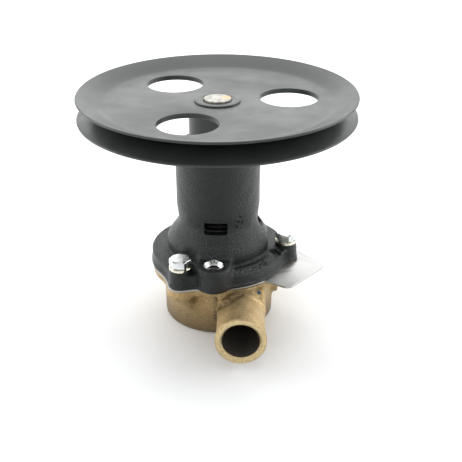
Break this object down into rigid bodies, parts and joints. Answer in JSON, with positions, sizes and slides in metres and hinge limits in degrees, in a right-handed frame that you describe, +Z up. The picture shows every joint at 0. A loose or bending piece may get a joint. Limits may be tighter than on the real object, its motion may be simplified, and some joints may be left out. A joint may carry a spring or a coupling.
{
  "type": "flexible impeller pump",
  "caption": "Belt driven flexible impeller pump: bronze cup body with two in-line hose ports, black bearing housing on ball bearings, and a stamped V-belt pulley.",
  "frame": {"origin": "where the shaft's axis meets the flat bottom of the body, which is what the pump stands on", "axes": "+Z up the shaft from the body to the pulley, +Y along the hose ports towards the rear port, +X towards the ports' side and the cam screw"},
  "size_m": [0.178, 0.178, 0.1565],
  "materials": {
    "sand_cast_bronze": "sand cast, machined at the faces",
    "turned_brass": "turned",
    "impeller_rubber": "moulded",
    "seal_rubber": "moulded",
    "gasket_paper": "pressed fibre",
    "stainless_plate": "brushed",
    "black_iron": "black paint over a sand casting",
    "bearing_steel": "ground",
    "spring_steel": "blackened",
    "shaft_steel": "ground, faint rust",
    "black_pulley_paint": "satin black",
    "zinc_plate": "bright zinc plate"
  },
  "bodies": {
    "pump": {"pump_body": "sand_cast_bronze", "cam": "sand_cast_bronze", "cam_screw": "turned_brass", "body_gasket": "gasket_paper", "wear_plate": "stainless_plate", "housing_gasket": "gasket_paper", "bearing_housing": "black_iron", "water_seal": "seal_rubber", "oil_seal": "seal_rubber", "lower_bearing_outer_race": "bearing_steel", "lower_bearing_shields": "seal_rubber", "upper_bearing_outer_race": "bearing_steel", "upper_bearing_shields": "seal_rubber", "housing_snap_ring": "spring_steel", "body_bolts": "zinc_plate", "lock_washers": "zinc_plate"},
    "rotor": {"shaft": "shaft_steel", "shaft_snap_rings": "spring_steel", "lower_bearing_inner_race": "bearing_steel", "upper_bearing_inner_race": "bearing_steel", "bearing_spacer": "bearing_steel", "slinger": "seal_rubber", "impeller": "impeller_rubber", "impeller_hub": "turned_brass", "impeller_key": "shaft_steel", "pulley_hub": "black_pulley_paint", "pulley_lower_disc": "black_pulley_paint", "pulley_upper_disc": "black_pulley_paint"},
    "lower_ball_set": {"lower_bearing_balls": "bearing_steel", "lower_bearing_cage": "turned_brass"},
    "upper_ball_set": {"upper_bearing_balls": "bearing_steel", "upper_bearing_cage": "turned_brass"}
  },
  "joints": [
    {"name": "shaft_spin", "type": "hinge", "parent": "pump", "child": "rotor", "pos_m": [0, 0, 0.1474], "axis": [0, 0, 1], "continuous": true, "deforming": ["impeller"]},
    {"name": "lower_ball_roll", "type": "hinge", "parent": "pump", "child": "lower_ball_set", "pos_m": [0, 0, 0.0925], "axis": [0, 0, 1], "continuous": true},
    {"name": "upper_ball_roll", "type": "hinge", "parent": "pump", "child": "upper_ball_set", "pos_m": [0, 0, 0.1121], "axis": [0, 0, 1], "continuous": true}
  ],
  "couplings": [
    {"joint": "lower_ball_roll", "follows": "shaft_spin", "ratio": 0.3842},
    {"joint": "upper_ball_roll", "follows": "shaft_spin", "ratio": 0.3842}
  ]
}
